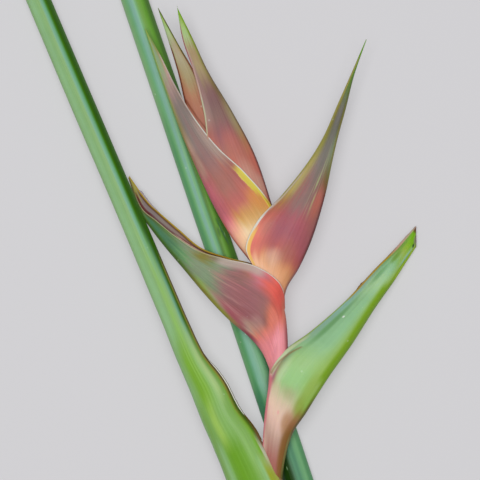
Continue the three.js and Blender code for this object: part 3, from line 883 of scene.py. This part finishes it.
bractFour = dict(
    name="clasping_bract", node="bract_4", slot="rose_bract",
    rootSink=0.6, rootReach=0.08, veins=9, veinHeight=0.06, wave=0.25, waves=2.5,
    ribs=[
        (12, -22, 20.5, -11, 21, 4.3, 3.6), (5.5, -11.5, 20, 2, 21, 5.7, 4.8),
        (-4, 1, 15.5, 17.2, 21, 6.9, 4.4), (-13.5, 17.5, 2.5, 33.5, 21, 7, 6.2),
        (-22, 36, -10.5, 45.5, 20.5, 6.2, 5.5), (-29.5, 53.5, -22, 59.8, 20, 4.8, 4.2),
        (-36, 71, -31.8, 76, 19, 3.3, 2), (-42, 88, -39.5, 91.5, 18, 2, 1.4),
        (-47.6, 105.6, -47.4, 105.8, 17, 0.7, 0.6),
    ],
    seed=17.9, veinCount=34.0, **roseSkin,
    cheek="cream 0 .17, goldGlow .23, terracotta .28, clay .36 .4, duskyMauve .47, greyMauve .56 .7, "
          "softMauve .77, paleSage .84 .94, tipLime 1",
    upper="goldGlow 0 .19, orangeGlow .26, terracotta .32, clay .41, softMauve .48 .58, greyMauve .66, "
          "softMauve .75, paleMauve .81, khaki .86, tipDeep 1",
    keel="cream 0, peach .17, blushPink .24, rose .28 .4, clay .47, pinkTan .55, khaki .63, "
         "paleKhaki .78, paleTip .86, tipPale 1",
    edge="terracotta 0, coral .24, rose .33 .42, tanBrown .52, oliveGold .62, tipLime .8 1",
    inner="cream 0, terracotta .5, khaki 1",
    upperReach=(0.55, 0.9), keelReach=(0.08, 0.36), edgeReach=(0.2, 1.3),
    patches="orangeGlow .25 .86 .06 .22 .6, goldGlow .22 .55 .06 .25 .5, duskyMauve .54 .5 .16 .16 .6, "
            "pinkTan .47 .13 .06 .18 .6, goldGlow .44 .84 .05 .12 .5 veined",
    lines="orangeGlow 1.2 1.9 .2 .32 .8, yellowRim .3 1.2 .2 .35 .5 .9 .7, "
          "yellowRim .2 2.9 .29 .355 .4 .9 2.6, paleRim 0 .3 .22 .62 .2, goldLine 0 .8 .16 .215, "
          "silver 0 .4 .68 .86",
)

bractFive = dict(
    name="bud_right_bract", node="bract_5", slot="rose_bract",
    rootSink=0.0, rootReach=0.1, veins=8, veinHeight=0.05, wave=0.2, waves=2.5,
    ribs=[
        (20.5, -12, 11.5, -6, 21, 3.3, 2.8), (20, 3, 3, 9, 21, 4.4, 3.8),
        (15.5, 19, -6, 26.5, 21, 5.2, 4.4), (7.5, 42.5, -15, 45, 21, 5.1, 4.5),
        (-3.5, 63.5, -18, 64, 20.8, 4.5, 4), (-16, 84.5, -23.2, 84.5, 20.5, 3.2, 2.4),
        (-23.5, 100.5, -28.5, 100, 20.2, 1.9, 1.3), (-31.6, 116.8, -31.4, 116.8, 20, 0.7, 0.6),
    ],
    seed=23.3, veinCount=32.0, **roseSkin,
    cheek="terracotta 0 .36, clay .42, plumRose .48, foldRose .56 .66, khaki .75 .83, tipPale .89, "
          "tipLime .95, brightTip 1",
    upper="terracotta 0 .42, clay .5, softMauve .58 .68 .76, paleKhaki .84, tipPale .92, brightTip 1",
    keel="terracotta 0 .4, tanBrown .47, khaki .53 .6, oliveBrown .68, oliveGold .76, tipLime .86, "
         "brightTip 1",
    edge="maroon 0 .38, rustEdge .47, oliveBrown .56 .78, limeOlive .86, brightTip 1",
    inner="terracotta 0, khaki 1",
    upperReach=(0.66, 0.95), keelReach=(0.06, 0.34), edgeReach=(0.2, 1.3),
    patches="terracotta .45 .4 .08 .3 .5, pinkTan .33 .3 .08 .26 .55, pinkTan .305 .1 .05 .14 .6, "
            "duskyMauve .64 .86 .12 .14 .7",
    lines="oliveCream 0 .4 .5 .66 .3 .6, paleMauve 0 .6 .66 .8 .3 .7, crimson 0 .25 .8 .9 .2",
)

bractSix = dict(
    name="inner_bract", node="bract_6", slot="rose_bract",
    rootSink=0.0, rootReach=0.1, veins=6, veinHeight=0.05, wave=0.15, waves=2.5,
    ribs=[
        (5.5, 1, 11, 6, 20.8, 2.6, 2.2), (-8, 21.5, 3, 26.5, 20.8, 3.4, 2.8),
        (-19, 44, -7, 47, 20.8, 3.6, 2.8), (-26.8, 66, -16.5, 67.5, 20.6, 3.2, 2.4),
        (-31, 83.5, -23, 84, 20.2, 2.3, 1.6), (-35.5, 98.5, -31, 98, 19.6, 1.5, 1.1),
        (-41.1, 116, -40.9, 116, 19, 0.7, 0.6),
    ],
    # the crease line has no depth: it is painted shadow of the clasping bract's rim, in rust
    creases=[
        dict(breadth=0.5, depth=0.0,
             path=[(0.44, 0.62), (0.464, 0.54), (0.492, 0.46), (0.52, 0.35), (0.552, 0.25), (0.575, 0.17),
                   (0.6, 0.08)]),
    ],
    seed=29.6, veinCount=26.0, **roseSkin, creaseColour="rustEdge",
    cheek="rust 0 .52, dustyBrown .62, khaki .69, paleKhaki .76 .84, tipPale .9, tipLime .95, brightTip 1",
    upper="rust 0 .6, khaki .68 .78, oliveGold .85, tipDeep .92, brightTip 1",
    keel="rust 0 .57, dustyBrown .66, khaki .74, paleTip .82, leafPale .92, brightTip 1",
    edge="rustEdge 0 .6, tanBrown .7, khaki .82, tipPale .92, brightTip 1",
    inner="rust 0, khaki 1",
    upperReach=(0.6, 0.95), keelReach=(0.05, 0.3), edgeReach=(0.1, 0.8),
    patches="khaki .7 .45 .08 .3 .4",
    # the rust lines along both edges stand for the same dark line where the clasping bract's rim lies over
    # this one: painted shadow
    lines="rustEdge 0 .5 .4 .8 .5, rustEdge 0 .5 .4 .8 .5 fromKeel, darkOlive 0 .4 .8 .98",
)

for bract in (bractOne, bractTwo, bractThree, bractFour, bractFive, bractSix):
    margins = [paperySkin(bract)] if "ribbons" in bract else []
    makeBract(bract, [bladeSkin(bract, paintBract, bractVeinShine), *margins])


# Flower stem and leaf stalks

stalkSteps = 220
stalkHalfSides = 48
sheathRim = 1.0  # how far the hollow side stays in from the rim where a stalk opens
claspBlend = 2.0  # how far the far side moves in while a stalk opens
flatShare = 0.94  # where the flat strip cuts the round far side
bottomless = -1e9  # for a side without a flat strip
shoulderAngle, shoulderBreadth = math.radians(62), math.radians(16)
lookAhead = 0.01
stemPinkReach = (0.2, 0.35)  # where the pink starts and is full, along the stem


def makeStalk(stalk, materials):
    # a rounded near side and a far side that is round, flat or hollow, swept along the stations
    run = np.linspace(0, 1, stalkSteps + 1)
    centres, girths, rolls = columnsOf(stalk["stations"], [0, 1, 2], [3, 4, 5], [6])
    centre, roll = smoothRun(centres, run), smoothRun(np.radians(rolls), run)
    halfBreadth, near, far = np.split(smoothRun(girths, run), 3, axis=1)
    ahead = smoothRun(centres, np.minimum(run + lookAhead, 1))
    ahead -= smoothRun(centres, np.maximum(run - lookAhead, 0))
    ahead[:, 2] = 0
    ahead /= np.linalg.norm(ahead, axis=1)[:, None]
    right = np.stack([ahead[:, 1], -ahead[:, 0], np.zeros(len(run))], axis=1)
    rightward = right * np.cos(roll) + upright * np.sin(roll)
    upward = upright * np.cos(roll) - right * np.sin(roll)
    angle = ((np.arange(stalkHalfSides) + 0.5) * np.pi / stalkHalfSides)[None, :]
    ridge = 1 + stalk["shoulder"] * np.exp(-((angle - shoulderAngle) / shoulderBreadth) ** 2)
    shares, length = lengthShares(centre)
    across = (1 + np.cos(angle)) / 2
    pressed, creaseAndShadowMask = creases(stalk, shares[:, None], across, 2 * halfBreadth, length)
    veinRelief = stalk["veinHeight"] * np.cos(2 * stalk["veins"] * angle) * np.sin(angle)
    nearX = halfBreadth * np.cos(angle) * ridge - pressed * np.cos(angle)
    nearZ = near * np.sin(angle) * ridge + veinRelief - pressed * np.sin(angle)
    clasp = easeBetween(far, -claspBlend, claspBlend)
    farX = (halfBreadth - sheathRim * clasp) * np.cos(angle)
    farZ = np.maximum(far * np.sin(angle), np.where(far < 0, flatShare * far, bottomless))

    def placed(x, z):
        return centre[:, None] + rightward[:, None] * x[..., None] + upward[:, None] * z[..., None]

    points = np.concatenate([placed(nearX, nearZ), placed(farX, farZ)[:, ::-1]], axis=1)
    rows, ring = points.shape[:2]
    acrossRing = np.concatenate([across, across[:, ::-1]], axis=1)
    isFar = np.repeat((0.0, 1.0), stalkHalfSides)
    creaseAndShadowRing = np.tile(creaseAndShadowMask * np.ones((rows, stalkHalfSides)), 2) * (1 - isFar)
    parts = [newPart(
        points, tubeFaces(rows, ring), along=shares[:, None], across=acrossRing,
        fromMargin=(1 - acrossRing) * 2 * halfBreadth, inside=clasp * isFar, crease=creaseAndShadowRing,
    )]
    parts += [newPart(row, capFaces(0, ring, stalkHalfSides - 1), slot=1) for row in points[[0, -1]]]
    for strip in stalk.get("ribbons", []):
        edge = placed(halfBreadth, np.zeros_like(halfBreadth))[:, 0]
        parts.append(ribbonPart(strip, edge, rightward, upward, shares, length, slot=2))
    buildPiece(stalk, parts, materials)


def paintStalk(stalk, along, across, veins, feather, marks):
    colour = bandColour(stalk, along + feather, across + feather)
    if "joint" in stalk:
        pink = ramp(layer(along.tree, "besideStem"), stalk["joint"])
        pink = mix(fade(layer(along.tree, "pastJoint"), *jointFade), colourOf("coral"), pink)
        colour = mix(fade(along, *stemPinkReach), colour, pink)
    colour = addPatches(colour, stalk, along, across, veins, feather)
    colour = addStreaks(colour, stalk, veins, marks)
    inside = layer(along.tree, "inside")
    return mix(inside, colour, colourOf("leafPale")), inside


cutLook = dict(
    gloss=0.3, coat=0.05, glow=0.2, roughness=0.45, relief=0.4,
    canals=1100.0, canalSize=(0.12, 0.34), canalStrength=0.55,
    strands=520.0, strandSize=(0.08, 0.2), strandStrength=0.6, wetness=300.0, wetShine=0.2,
)


def makeCutFace(look):
    # pale spongy tissue full of air canals, with darker strands
    material, tree, shader = newSkin("cut_face", look)
    place = objectPlace(tree)
    canals, strands = (read(cells(place, look[key]), "Distance") for key in ("canals", "strands"))
    wet = noise(place, look["wetness"], detail=3.0)
    colour = mix(spread(wet), colourOf("pith"), colourOf("pithGreen"))
    canalMask = (1.0 - fade(canals, *look["canalSize"])) * look["canalStrength"]
    colour = mix(canalMask, colour, colourOf("rearMid"))
    strandMask = (1.0 - fade(strands, *look["strandSize"])) * look["strandStrength"]
    colour = mix(strandMask, colour, colourOf("foldBrown"))
    finishSkin(shader, colour, wet * look["wetShine"] + look["roughness"], canals, look["relief"])
    return material


flowerStem = dict(
    name="pink_flower_stem", node="flower_stem", slot="flower_stem_skin",
    veins=11, veinHeight=0.03, shoulder=0.0,
    stations=stemStations,
    seed=1.7, veinCount=26.0, stretch=7.0, feather=0.05, streaks=0.2, clouds=0.08, marks=0.1,
    roughness=0.45, veinDepth=0.08, glow=0.15,
    joint=bractTwo["joint"],
    bands="pinkTan 0, pinkCream .6, olive 1",
    zones=[],
)

rearStalk = dict(
    name="rear_stalk", node="rear_leaf_stalk", slot="leaf_stalk_skin",
    veins=14, veinHeight=0.03, shoulder=0.06,
    stations=[
        (41.5, cutY, 5.6, 7.4, 5.9, -5.96), (29, -120, 5.6, 7.4, 5.9, -5.96),
        (20, -93, 5.6, 7.4, 5.9, -5.96), (2.2, -40, 5.6, 7.2, 5.9, -5.96),
        (-16.8, 14.5, 5.6, 7.1, 5.9, -5.96), (-36.2, 71.5, 5.6, 6.8, 5.8, -5.96),
        (-56.8, trimY, 5.6, 6.6, 5.6, -5.96),
    ],
    creases=[
        dict(breadth=0.5, depth=0.4, path=[(0.535, 0.86), (0.555, 0.78), (0.575, 0.74)]),
        # the second crease has no depth: it is painted shadow of the lowest bract's edge
        dict(breadth=0.8, depth=0.0, path=[(0.25, 0.34), (0.294, 0.6), (0.32, 0.84)]),
    ],
    seed=5.2, veinCount=30.0, stretch=14.0, feather=0.02, streaks=0.14, clouds=0.1, marks=0.2,
    roughness=0.38, veinDepth=0.08, gloss=0.2, coat=0.04, creaseColour="rearDeep",
    # the blue-green stops about a third of the way across (rearGlow, and skyGreen and stalkTeal in the
    # zone from .36 to .48) are a painted highlight
    bands="stalkMint 0, rearGreen .18, rearGlow .36, rearGreen .47, rearOlive .56 .76, rearEdge .88 1",
    zones=[
        ((0.68, 0.82), "rearGreen 0, rearMid .12, rearGreen .24, rearGlow .34, rearGreen .43, "
         "rearMid .5, deepGreen .57, rearOlive .68, rearEdge .8, deepGreen 1"),
        ((0.36, 0.48), "rearGreen 0, rearMid .15, skyGreen .32, stalkTeal .46, rearMid .58, "
         "rearDeep .76, inkGreen 1"),
        # the dark right side of this zone is painted shadow beside the lowest bract, and the inkGreen on
        # the left of the next zone is painted shadow beside its base
        ((0.265, 0.31), "rearLow 0 .18, rearMid .32, rearLow .5, rearDeep .6 1"),
        ((0.19, 0.25), "inkGreen 0 .36, rearLow .5 .62, rearGreen .78, rearMid .88 1"),
    ],
    patches="speck .385 .4 .004 .05, leafPale .1535 .27 .004 .02 .5, inkGreen .556 .66 .012 .05 .6, "
            "leafPale .561 .725 .005 .008 .7, leafPale .549 .838 .006 .008 .9",
)

frontStalk = dict(
    name="front_stalk_and_sheath", node="front_leaf_stalk", slot="leaf_stalk_skin",
    veins=16, veinHeight=0.04, shoulder=0.06,
    stations=[
        (24, cutY, 6.6, 17.4, 11.4, 8.2, 18), (14.2, -139, 10, 15, 11, 7.8, 18),
        (7, -120, 14.5, 13.6, 9.4, 6.7, 18), (-2.3, -100.2, 17.6, 12.1, 8, 5, 18),
        (-9, -88.9, 19.2, 10.2, 7.2, 2.6, 14), (-15.7, -74.5, 20, 9.1, 6.4, -1.2, 8),
        (-24.3, -59.5, 19.8, 6.9, 6, -4.4, 3), (-32.8, -40, 18.6, 6.2, 5.9, -5.8),
        (-54, 10, 14.4, 6, 5.8, -5.8), (-79.7, 70, 9.7, 6, 5.8, -5.8), (-106, trimY, 5.45, 5.9, 5.6, -5.8),
    ],
    ribbons=[
        ribbon("right", (0.185, 0.345), root=0.9, thickness=0.3, curl=0.3, ragged=0.15,
               breadths=".185 .3, .2 .5, .228 .45, .24 .8, .31 .8, .345 0"),
    ],
    ribbonLook=dict(
        seed=6.6, veinCount=60.0, stretch=3.0, feather=0.1, streaks=0.2,
        bands="darkOlive 0 .5, paleRim .6 .78, violetGrey .9 1",
        zones=[
            ((0.226, 0.234), "moss 0, darkOlive .5, darkBark 1"),
        ],
    ),
    seed=9.8, veinCount=30.0, stretch=14.0, feather=0.012, streaks=0.16, clouds=0.08, marks=0.2,
    roughness=0.42, veinDepth=0.08, gloss=0.2, coat=0.04,
    # across the stalk the teal stops are a painted highlight, and the dark greens on the right are partly
    # the stalk's own deeper green and partly painted shade of the side turned from the light; the same
    # holds in the first zone
    bands="stalkSage 0, stalkMint .2, stalkGreen .38 .5, stalkTeal .58, rearMid .66, deepGreen .73, "
          "darkGreen .85, deepGreen 1",
    zones=[
        ((0.44, 0.6), "stalkSage 0, stalkMint .22, stalkGreen .36, sheathGreen .46 .56, stalkGreen .68, "
         "stalkTeal .76, rearEdge .86, deepGreen .94 1"),
        ((0.34, 0.42), "stalkSage 0, sheathGreen .22, stripeGreen .32 .42 .54, sheathGreen .64, "
         "ridgePale .78, sheathGreen .87, stripeGreen 1"),
        ((0.25, 0.3), "stalkSage 0, sheathGreen .12 .26, sheathPale .36 .44, sheathGreen .54 .86, "
         "stripeGreen .95, deepGreen 1"),
        ((0.18, 0.23), "stalkSage 0, sheathGreen .12, stalkSage .22, sheathCore .34 .68, "
         "sheathGreen .76 .88, stripeGreen .94, oliveLime 1"),
        # the pale strip at the right edge in this lowest zone is a painted highlight
        ((0.15, 0.175), "stalkSage 0, sheathGreen .12, stalkSage .22, sheathCore .34 .68, "
         "sheathGreen .76, stalkSage .84, stalkMint .91, paleRim 1"),
    ],
    lines="oliveLime 0 .9 .25 .48 .6, darkBark 0 .3 .19 .5 .35, deepGreen 0 .5 .17 .25 .9 .7, "
          "paleRim .1 1.1 .13 .155 .5, yellowOlive 0 3 .04 .13 1.6, foldBrown 0 .3 .05 .182",
)

cutFace = makeCutFace(cutLook)
for stalk in (flowerStem, rearStalk, frontStalk):
    margins = [paperySkin(stalk)] if "ribbons" in stalk else []
    makeStalk(stalk, [bladeSkin(stalk, paintStalk), cutFace, *margins])


# Floor, light and camera

studio = dict(
    floorSize=6.0, floorColour=(0.3, 0.296, 0.306, 1.0), floorGlow=(0.338, 0.334, 0.343, 1.0),
    floorRoughness=0.9, floorGloss=0.1,
    skyColour=(0.98, 0.985, 1.0, 1.0), skyStrength=0.22,
    keyPlace=(-0.13, 0.1, 1.6), keySize=0.8, keyPower=14.6,
    fillPlace=(0.15, -0.1, 1.6), fillSize=0.9, fillPower=7.4,
    cameraHeight=3.0, cameraReach=20, focusHeight=0.018, frameWidth=0.240, sensor=36.0,
)


def addToScene(name, data, place=(0, 0, 0)):
    thing = bpy.data.objects.new(name, data)
    thing.location = place
    bpy.context.scene.collection.objects.link(thing)
    return thing


def makeFloor():
    half = studio["floorSize"] / 2
    mesh = bpy.data.meshes.new("floor")
    corners = [(-half, -half, 0), (half, -half, 0), (half, half, 0), (-half, half, 0)]
    mesh.from_pydata(corners, [], [(0, 1, 2, 3)])
    material = bpy.data.materials.new("pale_floor")
    material.use_nodes = True
    setInputs(material.node_tree.nodes["Principled BSDF"], {
        "Base Color": studio["floorColour"], "Roughness": studio["floorRoughness"],
        "Emission Color": studio["floorGlow"], "Emission Strength": 1.0,
        "Specular IOR Level": studio["floorGloss"],
    })
    mesh.materials.append(material)
    floor = addToScene("floor", mesh)
    floor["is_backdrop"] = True


def makeLamp(name):
    # a round soft lamp that faces the frame's own middle
    lamp = bpy.data.lights.new(name, "AREA")
    lamp.shape = "DISK"
    lamp.size, lamp.energy = studio[name + "Size"], studio[name + "Power"]
    track = addToScene(name, lamp, studio[name + "Place"]).constraints.new("TRACK_TO")
    track.target = addToScene(name + "Aim", None)
    track.track_axis, track.up_axis = "TRACK_NEGATIVE_Z", "UP_Y"


def makeStudio():
    scene = bpy.context.scene
    scene.world = bpy.data.worlds.new("soft_sky")
    scene.world.use_nodes = True
    sky = scene.world.node_tree.nodes["Background"]
    setInputs(sky, {"Color": studio["skyColour"], "Strength": studio["skyStrength"]})
    scene.view_settings.view_transform = "Standard"
    makeFloor()
    makeLamp("key")
    makeLamp("fill")
    camera = bpy.data.cameras.new("camera")
    camera.sensor_width = studio["sensor"]
    height = studio["cameraHeight"]
    camera.lens = studio["sensor"] * (height - studio["focusHeight"]) / studio["frameWidth"]
    camera.clip_end = studio["cameraReach"]
    scene.camera = addToScene("camera", camera, (photoMiddle[0] * mm, photoMiddle[1] * mm, height))


makeStudio()
print("studio made")

boxes = {"cad": cadBounds, "visual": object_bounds()}
{label: [list(corner) for corner in box] for label, box in boxes.items()}
